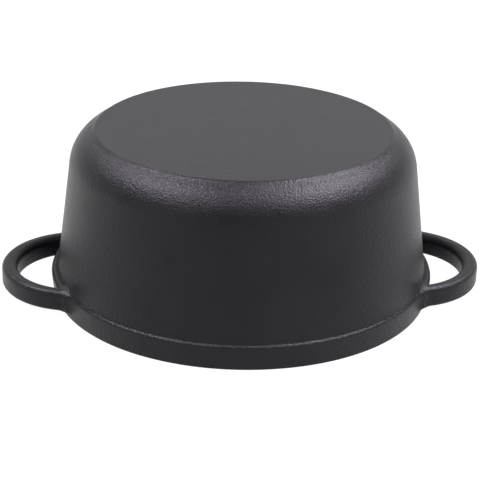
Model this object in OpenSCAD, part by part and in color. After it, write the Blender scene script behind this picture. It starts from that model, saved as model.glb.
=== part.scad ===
// Cast iron dutch oven: a straight-sided pot turned over on its rim, base up,
// with its drop-in lid and the lid's knob lying under it. Millimetres, +Z up.
// The origin is on the pot's axis, in the plane that the rim stands on.

/* [Pot body] */
// Outer diameter over the band at the rim
rim_d = 260; // [230:1:290]
// Height from the rim to the ground base
pot_h = 117.4; // [105:0.2:135]
// Slope of the outer wall, in degrees
wall_draft = 7.25; // [5:0.25:8.5]
// Slope of the inner wall, in degrees
cavity_draft = 5; // [4:0.25:6.5]
// Radius of the rounded shoulder between wall and base
shoulder_r = 27.4; // [20:0.2:32]
// How much of the shoulder's crown is cut off by the flat base
base_ground = 0.6; // [0.4:0.1:3]
// Diameter of the ground face on the base
ground_d = 202; // [190:0.2:206]
// Slope of the edge round the ground face, in degrees
ground_slope = 42; // [30:1:60]
// Thickness of the base
base_t = 5; // [4:0.5:7]

/* [Rim band] */
// Height of the thick band round the rim
band_h = 16.6; // [13:0.2:22]
// How far the band stands proud of the wall
band_proud = 1.5; // [1:0.1:3]
// Rounding of the band's edge on the side of the wall
band_edge_r = 2; // [1:0.1:4]
// Rounding of the rim's standing edge
rim_edge_r = 0.5; // [0.3:0.1:1]
// Width of the standing face of the rim, outside the lid's seat
rim_land = 3.8; // [3.6:0.1:6]
// Depth of the recess that the lid drops into
seat_depth = 5; // [4.8:0.1:7]
// Width of the ledge that the lid rests on
seat_ledge = 3.6; // [2.5:0.1:5]

/* [Loop handles] */
// How far a handle reaches out from the rim
handle_reach = 37.3; // [32:0.1:44]
// Outer radius of a handle's loop
loop_r = 53.5; // [51:0.5:58]
// Radius of the finger opening
finger_r = 44.5; // [40:0.5:46]
// Width of the bar at the tip of the loop
bar_w = 11; // [9:0.1:12]
// Radius of the hollow corner where the loop runs into the band
root_r = 6.5; // [6:0.1:7]
// Width of the web along the band inside the finger opening
web_w = 1.8; // [1:0.1:3]
// How far the top of that web is below the top of the band
web_drop = 0.8; // [0.4:0.1:1.6]
// Rounding of the two corners of the finger opening
finger_corner_r = 5; // [3:0.5:7]
// Clearance under the handle when the pot stands on its rim
handle_lift = 4.9; // [3:0.1:6]
// Height of the handle's bar
handle_t = 14.5; // [12:0.1:16]
// Rounding of the handle's edges
handle_edge_r = 3.2; // [1:0.1:3.4]

/* [Lid] */
// Gap all round between the lid and its recess
lid_gap = 0.8; // [0.5:0.1:1.5]
// Thickness of the lid's flange
flange_t = 4.6; // [3.5:0.1:4.7]
// Width of the flat flange
flange_w = 8; // [6:0.5:12]
// Height of the lid's crown
crown_h = 19; // [16:0.5:24]
// Thickness of the lid's shell
lid_t = 4.2; // [3.6:0.1:5]
// Number of drip rings under the lid
drip_rings = 3; // [1:1:3]
// Distance from one drip ring to the next
drip_pitch = 26; // [18:1:28]
// Radius of a drip ring's rounded section
drip_r = 1.8; // [1:0.1:2]

/* [Knob and screw] */
// Largest diameter of the knob
knob_d = 40; // [36:1:46]
// Height of the knob above its collar
knob_h = 27; // [24:1:32]
// Diameter of the knob's neck
neck_d = 17; // [14:1:20]
// Diameter of the collar under the knob
collar_d = 30; // [24:1:34]
// Thickness of the collar
collar_t = 1.5; // [1:0.1:2]
// Nominal diameter of the screw
screw_d = 6; // [5:1:6]
// How deep the screw reaches into the knob
screw_grip = 13; // [9:0.5:15]

/* [Hidden] */
$fn = 96;

eps = 0.01;
iron = [0.17, 0.17, 0.175];
steel = [0.72, 0.72, 0.72];

// Pot: radii and heights of its outside and its cavity
rim_r = rim_d / 2;
wall_r = rim_r - band_proud;                  // outer wall at the top of the band
shoulder_z = pot_h + base_ground - shoulder_r;
shoulder_x = wall_r - (shoulder_z - band_h) * tan(wall_draft) - shoulder_r / cos(wall_draft);
ground_r = ground_d / 2;
ground_edge_w = 2;
seat_r = rim_r - rim_land;
mouth_r = seat_r - seat_ledge;
floor_z = pot_h - base_t;                     // inner face of the base
corner_r = shoulder_r - base_t;               // inner corner of the cavity
corner_z = floor_z - corner_r;
corner_x = mouth_r - (corner_z - seat_depth) * tan(cavity_draft) - corner_r / cos(cavity_draft);

// Handles
handle_tip = rim_r + handle_reach;
loop_x = handle_tip - loop_r;                 // centre of the loop's outline
finger_x = handle_tip - bar_w - finger_r;     // centre of the finger opening
web_r = rim_r + web_w;
web_h = band_h - handle_lift - web_drop;

// Lid: its crown is part of a sphere, outside and inside
lid_r = seat_r - lid_gap;
flange_edge_r = 0.8;
crown_r = lid_r - flange_w;
crown_rise = crown_h - flange_t;
dome_r = (pow(crown_r, 2) + pow(crown_rise, 2)) / (2 * crown_rise);
dome_z = crown_h - dome_r;
hollow_r = dome_r - lid_t;
boss_d = 34;                                  // flat pads over and under the crown
boss_rise = 0.6;
boss_drop = 1.4;
pad_z = crown_h + boss_rise;
under_z = crown_h - lid_t - boss_drop;
bolt_clear = 0.4;

// Knob stack, upwards from the upper pad and downwards from the lower pad
collar_top = pad_z + collar_t;
screw_end = collar_top + screw_grip;
flat_t = 1.2;
flat_d = 2.6 * screw_d;
flat_z = under_z - flat_t;
spring_t = 1.6;
spring_d = 1.9 * screw_d;
spring_gap = 1;
spring_z = flat_z - spring_t;
head_t = 0.55 * screw_d;
head_d = 2 * screw_d;
head_z = spring_z - head_t;
driver_w = 1;
driver_depth = 1.8;
thread_play = 0.04;
head_h = 11;                                  // the knob's grip, above its neck
foot_h = 2;
foot_d = 24;
neck_fillet = 5;
grip_edge_r = 3.6;
grip_dome_r = 60;

// The point at a distance from the pot's axis and at another from a point along X
function touching(from_axis, x, from_x) =
    let (along = (pow(x, 2) + pow(from_axis, 2) - pow(from_x, 2)) / (2 * x))
    [along, sqrt(pow(from_axis, 2) - pow(along, 2))];

// A solid of revolution, from the right-hand half of a profile
module turn(bottom, top, reach) {
    rotate_extrude() intersection() {
        translate([0, bottom]) square([reach, top - bottom]);
        union() children();
    }
}

// A ring with a round hole, standing on z
module ring(outer_d, inner_d, z, h) {
    translate([0, 0, z]) difference() {
        cylinder(d = outer_d, h = h);
        translate([0, 0, -1]) cylinder(d = inner_d, h = h + 2);
    }
}

// Half of a drafted vessel, open below, with a rounded corner at its closed end
module vessel_profile(open_r, open_z, draft, x, z, r) {
    polygon([
        [0, open_z],
        [open_r, open_z],
        [x + r * cos(draft), z + r * sin(draft)],
        [x, z],
        [x, z + r],
        [0, z + r]
    ]);
    translate([x, z]) circle(r = r);
}

// Half of a disc standing on z = 0, with its edges rounded
module puck_profile(r, h, lower, upper) {
    square([r - lower, lower + eps]);
    translate([0, lower]) square([r, h - lower - upper]);
    square([r - upper, h]);
    translate([r - lower, lower]) circle(r = lower);
    translate([r - upper, h - upper]) circle(r = upper);
}

module pot_outside() {
    turn(0, pot_h, rim_r) {
        vessel_profile(wall_r + band_h / 2 * tan(wall_draft), band_h / 2,
            wall_draft, shoulder_x, shoulder_z, shoulder_r);
        puck_profile(rim_r, band_h, rim_edge_r, band_edge_r);
        polygon([
            [0, pot_h],
            [ground_r, pot_h],
            [ground_r + ground_edge_w, pot_h - ground_edge_w * tan(ground_slope)],
            [0, pot_h - ground_edge_w * tan(ground_slope)]
        ]);
    }
}

module pot_cavity() {
    turn(seat_depth - eps, floor_z, rim_r)
        vessel_profile(mouth_r, seat_depth - eps, cavity_draft, corner_x, corner_z, corner_r);
    translate([0, 0, -1]) cylinder(r = seat_r, h = seat_depth + 1);
}

// A round plate level with the underside of the handles, with its edges rounded
module handle_plate(r, h) {
    translate([0, 0, handle_lift]) rotate_extrude() puck_profile(r, h, handle_edge_r, handle_edge_r);
}

// A round hole through a plate of a handle, flared by the rounded edges
module handle_hole(r, h) {
    flare = r + handle_edge_r;
    translate([0, 0, handle_lift]) rotate_extrude() difference() {
        translate([0, -eps]) square([flare, h + 2 * eps]);
        translate([r, handle_edge_r]) square([flare, h - 2 * handle_edge_r]);
        for (z = [handle_edge_r, h - handle_edge_r])
            translate([flare, z]) circle(r = handle_edge_r);
    }
}

// Metal that fills the outline in a corner of the handle, up to a hollow round face
module corner_web(centre, r, outline) {
    difference() {
        translate([0, 0, handle_lift]) linear_extrude(web_h) polygon(outline);
        translate(centre) handle_hole(r, web_h);
    }
}

// Outside corner, between the band and the loop
module root_web() {
    centre = touching(rim_r + root_r, loop_x, loop_r + root_r);
    corner_web(centre, root_r, [[0, 0], centre, [loop_x, 0]]);
}

// Inside corner, between the web and the finger opening
module finger_web() {
    centre = touching(web_r + finger_corner_r, finger_x, finger_r - finger_corner_r);
    beyond = (finger_r + handle_edge_r + 1) / (finger_r - finger_corner_r);
    outer = [finger_x + (centre[0] - finger_x) * beyond, centre[1] * beyond];
    corner_web(centre, finger_corner_r, [[0, 0], centre, outer, [finger_x, outer[1] + root_r]]);
}

module loop_handle() {
    difference() {
        translate([loop_x, 0, 0]) handle_plate(loop_r, handle_t);
        difference() {
            translate([finger_x, 0, 0]) handle_hole(finger_r, handle_t);
            handle_plate(web_r, web_h);
        }
    }
    for (side = [0, 1]) mirror([0, side, 0]) {
        root_web();
        finger_web();
    }
}

module pot() {
    color(iron) difference() {
        union() {
            pot_outside();
            for (side = [0, 180]) rotate([0, 0, side]) loop_handle();
        }
        pot_cavity();
    }
}

module drip_ring(r) {
    rotate_extrude() translate([r, dome_z + sqrt(pow(hollow_r, 2) - pow(r, 2))])
        circle(r = drip_r);
}

module lid() {
    color(iron) difference() {
        union() {
            turn(0, crown_h, lid_r) difference() {
                union() {
                    puck_profile(lid_r, flange_t, flange_edge_r, flange_edge_r);
                    intersection() {
                        translate([0, dome_z]) circle(r = dome_r, $fn = 720);
                        square([crown_r, crown_h]);
                    }
                }
                translate([0, dome_z]) circle(r = hollow_r, $fn = 720);
            }
            translate([0, 0, under_z]) cylinder(d = boss_d, h = pad_z - under_z);
            for (i = [1 : drip_rings]) drip_ring((boss_d - drip_pitch) / 2 + i * drip_pitch);
        }
        translate([0, 0, -1]) cylinder(d = screw_d + bolt_clear, h = pad_z + 2);
    }
}

module knob_collar() {
    color(steel) ring(collar_d, screw_d + bolt_clear, pad_z, collar_t);
}

// Turned knob: a foot, a waisted neck and a mushroom grip with a blind thread
module lid_knob() {
    grip_z = knob_h - head_h;
    color(steel) translate([0, 0, collar_top]) difference() {
        turn(0, knob_h, knob_d / 2) {
            square([foot_d / 2, foot_h]);
            square([neck_d / 2, knob_h - 2]);
            difference() {
                translate([0, foot_h]) square([neck_d / 2 + neck_fillet, grip_z - foot_h + 1]);
                for (z = [foot_h + neck_fillet, grip_z - neck_fillet])
                    translate([neck_d / 2 + neck_fillet, z]) circle(r = neck_fillet);
                translate([neck_d / 2, foot_h + neck_fillet])
                    square([neck_fillet + 1, grip_z - foot_h - 2 * neck_fillet]);
            }
            intersection() {
                translate([0, grip_z]) puck_profile(knob_d / 2, head_h, grip_edge_r, grip_edge_r);
                translate([0, knob_h - grip_dome_r]) circle(r = grip_dome_r, $fn = 360);
            }
        }
        translate([0, 0, -1]) cylinder(d = screw_d + thread_play, h = screw_grip + 2);
    }
}

module flat_washer() {
    color(steel) ring(flat_d, screw_d + bolt_clear, flat_z, flat_t);
}

module spring_washer() {
    color(steel) difference() {
        ring(spring_d, screw_d + bolt_clear, spring_z, spring_t);
        translate([0, -spring_gap / 2, spring_z - 1]) cube([spring_d, spring_gap, spring_t + 2]);
    }
}

// Pan-head screw, put in from under the lid, with a cross recess
module knob_screw() {
    color(steel) difference() {
        union() {
            translate([0, 0, head_z]) rotate_extrude() intersection() {
                puck_profile(head_d / 2, head_t * 1.6, head_t * 0.7, head_t * 0.7);
                square([head_d / 2, head_t]);
            }
            translate([0, 0, spring_z - eps]) cylinder(d = screw_d, h = screw_end - spring_z);
        }
        for (turn_by = [0, 90]) rotate([0, 0, turn_by])
            translate([-head_d * 0.28, -driver_w / 2, head_z - 1])
                cube([head_d * 0.56, driver_w, driver_depth + 1]);
    }
}

pot();
lid();
knob_collar();
lid_knob();
flat_washer();
spring_washer();
knob_screw();
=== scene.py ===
import math

import bpy
import numpy as np
from mathutils import Matrix, Vector


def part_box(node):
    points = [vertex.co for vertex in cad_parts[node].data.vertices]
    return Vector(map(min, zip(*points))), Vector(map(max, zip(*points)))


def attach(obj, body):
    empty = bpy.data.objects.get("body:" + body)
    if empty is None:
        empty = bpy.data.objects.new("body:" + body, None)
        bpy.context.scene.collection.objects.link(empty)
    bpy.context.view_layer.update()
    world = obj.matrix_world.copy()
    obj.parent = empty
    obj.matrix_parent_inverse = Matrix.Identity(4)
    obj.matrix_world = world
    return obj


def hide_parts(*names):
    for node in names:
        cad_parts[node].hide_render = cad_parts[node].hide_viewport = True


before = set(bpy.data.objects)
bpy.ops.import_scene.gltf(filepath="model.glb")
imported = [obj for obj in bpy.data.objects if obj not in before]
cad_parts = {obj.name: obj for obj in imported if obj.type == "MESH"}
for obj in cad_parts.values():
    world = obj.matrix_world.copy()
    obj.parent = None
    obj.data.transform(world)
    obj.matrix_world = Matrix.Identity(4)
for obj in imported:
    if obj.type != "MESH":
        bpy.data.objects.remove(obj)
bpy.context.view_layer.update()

MM = 0.001

# ---------------------------------------------------------------------------
# Dimensions in millimetres. The overall sizes come from the frame, and the
# rest repeat the driving dimensions of the CAD model.

pot_lo, pot_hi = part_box("pot")
lid_lo, lid_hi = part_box("lid")

rim_r = pot_hi[1] / MM
pot_h = pot_hi[2] / MM
handle_tip = pot_hi[0] / MM

wall_draft = math.radians(7.25)
cavity_draft = math.radians(5.0)
shoulder_r = 27.4
base_ground = 0.6                     # the shoulder's crown stands this far over the base
base_t = 5.0
band_h = 16.6
band_edge_r = 2.0
wall_r = rim_r - 1.5                  # outer wall at the top of the rim band
seat_r = rim_r - 3.8
seat_depth = 5.0
mouth_r = seat_r - 3.6
corner_r = shoulder_r - base_t

ground_r = 101.0
ground_slope = math.radians(42)

loop_r = 53.5
finger_r = 44.5
handle_lift = 4.9
handle_t = 14.5
web_r = rim_r + 1.8
web_drop = 0.8
loop_x = handle_tip - loop_r
bar_w = 11.0
finger_x = handle_tip - bar_w - finger_r

lid_r = lid_hi[1] / MM
pad_z = lid_hi[2] / MM
flange_t = 4.6
crown_h = pad_z - 0.6
lid_t = 4.2
crown_r = lid_r - 8.0
crown_rise = crown_h - flange_t
dome_r = (crown_r ** 2 + crown_rise ** 2) / (2 * crown_rise)
dome_z = crown_h - dome_r
hollow_r = dome_r - lid_t
under_z = crown_h - lid_t - 1.4
boss_r = 17.0
drip_radii = (30.0, 56.0, 82.0)
drip_r = 1.8
bolt_r = 3.2

# ---------------------------------------------------------------------------
# Signed fields, negative inside the metal, in millimetres, and the ways to
# join them with the rounded corners of a casting.


def meet(a, b, radius):
    """The part inside both, its outer corner rounded."""
    corner = np.hypot(np.maximum(a + radius, 0), np.maximum(b + radius, 0))
    return np.minimum(np.maximum(a, b), -radius) + corner


def join(a, b, radius):
    """The part inside either, its hollow corner filled to a radius."""
    return -meet(-a, -b, radius)


def unevenness(x, y, z):
    """The gentle waviness of a surface poured in sand, about a tenth of a millimetre."""
    slow = np.sin(x / 23 + 1.3 * np.sin(y / 31)) * np.sin(y / 27 + 0.7) * np.sin(z / 19 + x / 61 + 0.4)
    quick = np.sin(x / 9.1 + y / 14.3) * np.sin(y / 8.3 - z / 7.1 + 1.1) * np.sin(z / 10.7 + x / 12.9)
    return 0.10 * slow + 0.035 * quick


def vessel(r, z, start_r, start_z, draft, top_z, corner):
    """A drafted vessel that passes through one point of its wall, its closed end rounded."""
    level_z = top_z - corner
    level_r = start_r - (level_z - start_z) * math.tan(draft) - corner / math.cos(draft)
    out, up = r - level_r, z - level_z
    wall = out * math.cos(draft) + up * math.sin(draft)
    rounded = (out > 0) & (up * math.cos(draft) > out * math.sin(draft))
    return np.where(rounded, np.hypot(out, up), np.maximum(wall, up)) - corner


def pot_outside(r, z):
    shell = vessel(r, z, wall_r, band_h, wall_draft, pot_h + base_ground, shoulder_r)
    slope = (r - ground_r) * math.sin(ground_slope) + (z - pot_h) * math.cos(ground_slope)
    pad = np.maximum(slope, r - ground_r - 4)
    band = meet(r - rim_r, z - band_h, band_edge_r)
    return join(join(np.maximum(shell, band_h - 4 - z), pad, 0.5), band, 0.8)


def pot_cavity(r, z):
    inside = vessel(r, z, mouth_r, seat_depth, cavity_draft, pot_h - base_t, corner_r)
    seat = np.maximum(r - seat_r, z - seat_depth)
    return join(inside, seat, 0.8)


def loop_handle(x, y, z):
    """One cast loop, round-topped, with the web that closes it along the band."""
    outline = np.hypot(x - loop_x, y) - loop_r
    opening = finger_r - np.hypot(x - finger_x, y)
    top = z - handle_lift - handle_t
    under = handle_lift - z
    outer = np.maximum(meet(outline, top, 3.4), meet(outline, under, 2.4))
    inner = np.maximum(meet(opening, top, 4.8), meet(opening, under, 1.6))
    web = np.hypot(x, y) - web_r
    web = np.maximum(meet(web, z - band_h + web_drop, 1.5), meet(web, under, 1.5))
    return join(np.maximum(outer, inner), np.maximum(web, outline), 5.0)


def pot_field(x, y, z):
    r = np.hypot(x, y)
    hollow = np.interp(z, (4, 14), (2, 6))
    cast = join(pot_outside(r, z), loop_handle(np.abs(x), y, z), hollow)
    cast = cast + unevenness(x, y, z)
    cast = meet(cast, z - pot_h, 0.25)
    cast = meet(cast, -z, 0.5)
    return meet(cast, -pot_cavity(r, z), 0.7)


def lid_field(x, y, z):
    r = np.hypot(x, y)
    over = np.hypot(r, z - dome_z) - dome_r
    flange = meet(meet(r - lid_r, z - flange_t, 0.9), -z, 0.7)
    cast = join(flange, np.maximum(over, r - crown_r - 1), 3.0)
    cast = join(cast, meet(r - boss_r, z - pad_z, 0.4), 1.5)
    cast = cast + unevenness(x + 40, y - 25, z)
    hollow = np.hypot(r, z - dome_z) - hollow_r
    for ring_r in drip_radii:
        ring_z = dome_z + math.sqrt(hollow_r ** 2 - ring_r ** 2)
        hollow = meet(hollow, drip_r - np.hypot(r - ring_r, z - ring_z), 1.0)
    hollow = meet(hollow, -meet(r - boss_r, under_z - z, 0.4), 1.5)
    cast = meet(cast, -hollow, 0.4)
    cast = meet(cast, -z, 0.5)
    return meet(cast, bolt_r - r, 0.4)


# ---------------------------------------------------------------------------
# Meshing: surface nets on a grid round the Z axis. Each vertex is then moved
# onto the field's zero, and takes the field's own normal.


def slope(field, points, step=0.01):
    """The field's gradient at each point."""
    grad = np.empty_like(points)
    for axis, shift in enumerate(np.eye(3) * step):
        grad[:, axis] = (field(*(points + shift).T) - field(*(points - shift).T)) / (2 * step)
    return grad


def onto_surface(field, points, steps):
    for _ in range(steps):
        grad = slope(field, points)
        off = field(*points.T) / np.maximum((grad ** 2).sum(1), 0.3)
        points = points - np.clip(off, -1.0, 1.0)[:, None] * grad
    return points


def relax(points, quads, share):
    """Each point moves part of the way to the middle of the quads round it."""
    middle = points[quads].mean(1)
    total = np.zeros_like(points)
    count = np.zeros(len(points))
    for corner in quads.T:
        np.add.at(total, corner, middle)
        np.add.at(count, corner, 1)
    return points + share * (total / count[:, None] - points)


def graded(*stretches):
    """Grid lines through stretches (start, end, spacing), even in each."""
    lines = [np.linspace(a, b, round((b - a) / step) + 1)[:-1] for a, b, step in stretches]
    return np.concatenate(lines + [[stretches[-1][1]]])


def surface_nets(field, turns, radii, heights):
    """Points and quads where the field changes sign. turns go once round, and end where they began."""
    grid = (turns, radii, heights)
    turn, r, z = np.meshgrid(*grid, indexing="ij")
    value = field(r * np.cos(turn), r * np.sin(turn), z)
    value[-1] = value[0]
    inside = value < 0
    size = np.array(value.shape) - 1
    corners = [(i, j, k) for i in (0, 1) for j in (0, 1) for k in (0, 1)]
    held = sum(inside[i:i + size[0], j:j + size[1], k:k + size[2]].astype(int) for i, j, k in corners)
    cells = np.argwhere((held > 0) & (held < 8))
    number = np.full(size, -1)
    number[tuple(cells.T)] = np.arange(len(cells))
    total = np.zeros((len(cells), 3))
    count = np.zeros(len(cells))
    quads = []
    for axis, way in enumerate(np.eye(3, dtype=int)):
        for corner in corners:
            if corner[axis]:
                continue
            at = cells + corner
            a, b = value[tuple(at.T)], value[tuple((at + way).T)]
            hit = (a < 0) != (b < 0)
            at, a, b = at[hit], a[hit], b[hit]
            place = np.stack([grid[k][at[:, k]] for k in range(3)], 1)
            place[:, axis] += (grid[axis][at[:, axis] + 1] - place[:, axis]) * a / (a - b)
            total[hit] += place
            count[hit] += 1
        crossed = np.argwhere(np.diff(inside, axis=axis))
        crossed = crossed[crossed[:, 0] < size[0]]
        ring = [crossed - np.insert(back, axis, 0) for back in ((0, 0), (1, 0), (1, 1), (0, 1))]
        ring = np.stack(ring, 1)
        ring[..., 0] %= size[0]
        ring = ring[((ring[..., 1:] >= 0) & (ring[..., 1:] < size[1:])).all((1, 2))]
        quads.append(number[tuple(np.moveaxis(ring, -1, 0))])
    turn, r, z = (total / count[:, None]).T
    return np.stack([r * np.cos(turn), r * np.sin(turn), z], 1), np.concatenate(quads)


def capped(points, normals, quads):
    """Closes the small holes left round the Z axis, each with a fan to a middle point."""
    edges = np.concatenate([quads[:, (k, (k + 1) % 4)] for k in range(4)])
    key = edges[:, 0] * len(points) + edges[:, 1]
    twin = edges[:, 1] * len(points) + edges[:, 0]
    rim = edges[~np.isin(key, twin)]
    fans = []
    for up in (1, -1):
        side = rim[normals[rim[:, 0], 2] * up > 0]
        if len(side):
            fans.append(np.column_stack([side[:, ::-1], np.full(len(side), len(points))]))
            points = np.vstack([points, [0, 0, points[side[:, 0], 2].mean()]])
            normals = np.vstack([normals, [0, 0, up]])
    return points, normals, fans


def casting(name, field, turns, radii, heights):
    """A smooth closed mesh of the field's zero, as a new object."""
    points, quads = surface_nets(field, turns, radii, heights)
    points = onto_surface(field, points, 3)
    for _ in range(3):
        points = onto_surface(field, relax(points, quads, 0.5), 2)
    normals = slope(field, points)
    normals /= np.linalg.norm(normals, axis=1)[:, None]
    a, b, c, d = np.moveaxis(points[quads], 1, 0)
    inward = (np.cross(c - a, d - b) * normals[quads].sum(1)).sum(1) < 0
    quads[inward] = quads[inward][:, ::-1]
    points, normals, fans = capped(points, normals, quads)
    mesh = bpy.data.meshes.new(name)
    faces = quads.tolist() + [face for fan in fans for face in fan.tolist()]
    mesh.from_pydata((points * MM).tolist(), [], faces)
    mesh.shade_smooth()
    mesh.normals_split_custom_set_from_vertices(normals.tolist())
    piece = bpy.data.objects.new(name, mesh)
    bpy.context.collection.objects.link(piece)
    return piece


# ---------------------------------------------------------------------------
# The two castings. The grids are close where edges and loops are.


def around(*stretches):
    return np.radians(graded(*stretches))


def make_pot():
    turns = around((-31, 31, 0.68), (31, 149, 2.2), (149, 211, 0.68), (211, 329, 2.2))
    radii = graded((3, 93, 9), (93, 100, 1.4), (100, 104, 0.3), (104, 119, 1.7),
                   (119, 125, 1.2), (125, 131.5, 0.5), (131.5, 169, 0.95))
    heights = graded((-0.6, 3, 0.45), (3, 21, 0.78), (21, 27, 1.2), (27, 91, 4), (91, 111, 1.7),
                     (111, 115, 1.2), (115, 118.2, 0.3))
    return casting("cast_pot", pot_field, turns, radii, heights)


def make_lid():
    turns = around((0, 360, 2))
    radii = graded((2, 5, 0.35), (5, 15, 1.5), (15, 19, 0.4), (19, 25, 1.5), (25, 85, 1.0),
                   (85, 114, 2.4), (114, 127, 0.45))
    heights = graded((-0.6, 6, 0.4), (6, 20.5, 0.5))
    return casting("cast_lid", lid_field, turns, radii, heights)


# ---------------------------------------------------------------------------
# Materials


class Nodes:
    """A material's node tree, with short calls for the nodes used here."""

    def __init__(self, name):
        self.material = bpy.data.materials.new(name)
        self.material.use_nodes = True
        self.tree = self.material.node_tree
        self.shader = self.tree.nodes["Principled BSDF"]
        self.place = self.tree.nodes.new("ShaderNodeTexCoord").outputs["Object"]

    def add(self, kind, values=(), **settings):
        node = self.tree.nodes.new("ShaderNode" + kind)
        for key, value in settings.items():
            setattr(node, key, value)
        for key, value in dict(values).items():
            if isinstance(value, bpy.types.NodeSocket):
                self.tree.links.new(value, node.inputs[key])
            else:
                node.inputs[key].default_value = value
        return node

    def noise(self, scale, detail=2.0, roughness=0.5, place=None):
        values = {"Vector": place or self.place, "Scale": scale, "Detail": detail, "Roughness": roughness}
        return self.add("TexNoise", values).outputs["Fac"]

    def between(self, value, low, high, to_low=0.0, to_high=1.0):
        values = {"Value": value, "From Min": low, "From Max": high, "To Min": to_low, "To Max": to_high}
        return self.add("MapRange", values).outputs["Result"]

    def math(self, operation, a, b=0.0):
        return self.add("Math", {0: a, 1: b}, operation=operation).outputs[0]

    def blend(self, factor, a, b):
        node = self.add("Mix", data_type="RGBA")
        for socket, value in ((node.inputs[0], factor), (node.inputs[6], a), (node.inputs[7], b)):
            if isinstance(value, bpy.types.NodeSocket):
                self.tree.links.new(value, socket)
            else:
                socket.default_value = value
        return node.outputs[2]

    def bump(self, height, distance, strength=1.0, under=None):
        values = {"Height": height, "Distance": distance, "Strength": strength}
        if under:
            values["Normal"] = under
        return self.add("Bump", values).outputs["Normal"]

    def set(self, **values):
        for key, value in values.items():
            socket = self.shader.inputs[key.replace("_", " ")]
            if isinstance(value, bpy.types.NodeSocket):
                self.tree.links.new(value, socket)
            else:
                socket.default_value = value


def cast_iron():
    """Seasoned sand-cast iron: near black, with fine grain and a low sheen."""
    n = Nodes("sand_cast_iron")
    grain = n.noise(860, 2, 0.6)
    lumps = n.noise(260, 2, 0.5)
    height = n.math("ADD", grain, n.math("MULTIPLY", lumps, 0.25))
    up = n.add("SeparateXYZ", {0: n.place}).outputs["Z"]
    smoothed = n.between(up, (pot_h - 0.5) * MM, (pot_h - 0.15) * MM, 1.0, 0.5)
    height = n.math("MULTIPLY", height, smoothed)
    patches = n.noise(22, 3, 0.55)
    shade = n.between(patches, 0.3, 0.7)
    n.set(Base_Color=n.blend(shade, (0.003, 0.003, 0.004, 1), (0.006, 0.006, 0.007, 1)),
          IOR=1.31,
          Specular_Tint=(1.0, 0.985, 1.01, 1),
          Roughness=n.between(patches, 0.3, 0.7, 0.33, 0.38),
          Normal=n.bump(height, 0.0005, 1.0))
    return n.material


def brushed_steel(name, colour, roughness):
    n = Nodes(name)
    n.set(Base_Color=colour, Metallic=1.0,
          Roughness=n.between(n.noise(400, 2), 0.3, 0.7, roughness - 0.05, roughness + 0.05))
    return n.material


# ---------------------------------------------------------------------------
# Stage, lights and camera


def direction(bearing, rise):
    """The way from the origin, by degrees round from the pot's front and up."""
    turn, lift = math.radians(bearing), math.radians(rise)
    return Vector((math.sin(turn) * math.cos(lift), -math.cos(turn) * math.cos(lift), math.sin(lift)))


def floor():
    mesh = bpy.data.meshes.new("floor")
    half = 6.0
    corners = [(-half, -half, 0), (half, -half, 0), (half, half, 0), (-half, half, 0)]
    mesh.from_pydata(corners, [], [(0, 1, 2, 3)])
    piece = bpy.data.objects.new("floor", mesh)
    bpy.context.collection.objects.link(piece)
    n = Nodes("floor_paper")
    n.set(Base_Color=(0.05, 0.05, 0.05, 1), Roughness=0.9, Specular_IOR_Level=0.1,
          Emission_Color=(1, 1, 1, 1), Emission_Strength=0.985)
    mesh.materials.append(n.material)
    piece.location.z = -0.0001


def softbox(name, bearing, rise, width, height, power, tint=(1, 1, 1)):
    """A soft light 1.7 m from the pot, its bearing counted from the pot's front."""
    light = bpy.data.lights.new(name, "AREA")
    light.shape = "RECTANGLE"
    light.size, light.size_y = width, height
    light.energy = power
    light.color = tint
    lamp = bpy.data.objects.new(name, light)
    away = direction(bearing, rise)
    lamp.location = away * 1.7
    lamp.rotation_mode = "QUATERNION"
    lamp.rotation_quaternion = (Vector((0, 0, 0.06)) - lamp.location).to_track_quat("-Z", "Y")
    bpy.context.collection.objects.link(lamp)


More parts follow.
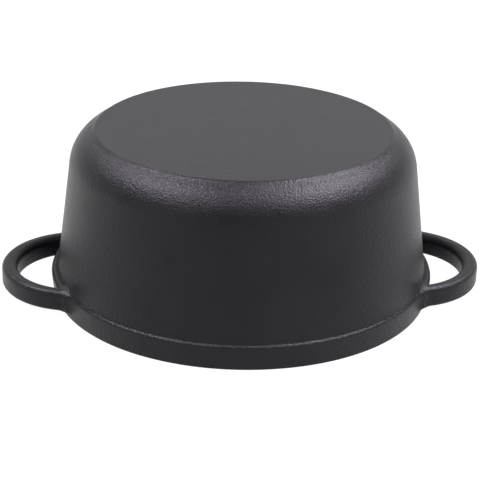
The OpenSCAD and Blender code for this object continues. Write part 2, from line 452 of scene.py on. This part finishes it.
def sky():
    """A white cove all round, low down, and near darkness above it."""
    world = bpy.data.worlds.new("studio")
    bpy.context.scene.world = world
    world.use_nodes = True
    tree = world.node_tree
    background = tree.nodes["Background"]
    way = tree.nodes.new("ShaderNodeTexCoord")
    split = tree.nodes.new("ShaderNodeSeparateXYZ")
    cove = tree.nodes.new("ShaderNodeMapRange")
    cove.interpolation_type = "SMOOTHSTEP"
    strength = {"From Min": 0.12, "From Max": 0.27, "To Min": 1.05, "To Max": 0.04}
    for socket, value in strength.items():
        cove.inputs[socket].default_value = value
    tree.links.new(way.outputs["Generated"], split.inputs[0])
    tree.links.new(split.outputs["Z"], cove.inputs["Value"])
    tree.links.new(cove.outputs["Result"], background.inputs["Strength"])
    background.inputs["Color"].default_value = (1, 1, 1, 1)


def camera():
    """The view from just above the table, a little to the left of the pot's front."""
    lens = bpy.data.cameras.new("camera")
    lens.sensor_width = 36.0
    lens.lens = 118.56
    eye = bpy.data.objects.new("camera", lens)
    back = direction(-4.10, 25.04)
    level = (-back).to_track_quat("-Z", "Y").to_matrix().to_4x4()
    tilt = Matrix.Rotation(math.radians(1.573), 4, "X")
    pan = Matrix.Rotation(math.radians(0.062), 4, "Y")
    roll = Matrix.Rotation(math.radians(1.16), 4, "Z")
    eye.matrix_world = Matrix.Translation(back * 1.1214) @ level @ tilt @ pan @ roll
    bpy.context.collection.objects.link(eye)
    bpy.context.scene.camera = eye


# ---------------------------------------------------------------------------
# Assembly


def finish_node(node, material):
    """Gives a CAD node's object its material."""
    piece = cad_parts[node]
    piece.data.materials.clear()
    piece.data.materials.append(material)


iron = cast_iron()
steel = brushed_steel("turned_steel", (0.62, 0.62, 0.61, 1), 0.28)
fastener = brushed_steel("fastener_steel", (0.5, 0.5, 0.5, 1), 0.35)

for make, node in ((make_pot, "pot"), (make_lid, "lid")):
    piece = make()
    piece.data.materials.append(iron)
    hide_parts(node)
    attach(piece, node)
for node in ("lid_knob", "knob_collar"):
    finish_node(node, steel)
for node in ("flat_washer", "spring_washer", "knob_screw"):
    finish_node(node, fastener)

bpy.context.scene.view_settings.view_transform = "Standard"
floor()
sky()
cool = (1.0, 0.96, 1.05)
softbox("key_left", -94, 57, 1.1, 0.6, 46, cool)
softbox("key_right", 92, 57, 1.1, 0.6, 66, cool)
softbox("fill_left", -38, 48, 0.6, 0.5, 8.2, cool)
softbox("fill_right", 38, 48, 0.6, 0.5, 8.9, cool)
softbox("back", 180, 33, 2.2, 0.5, 6.2)
softbox("top", 0, 80, 0.7, 0.7, 1.5, cool)
camera()
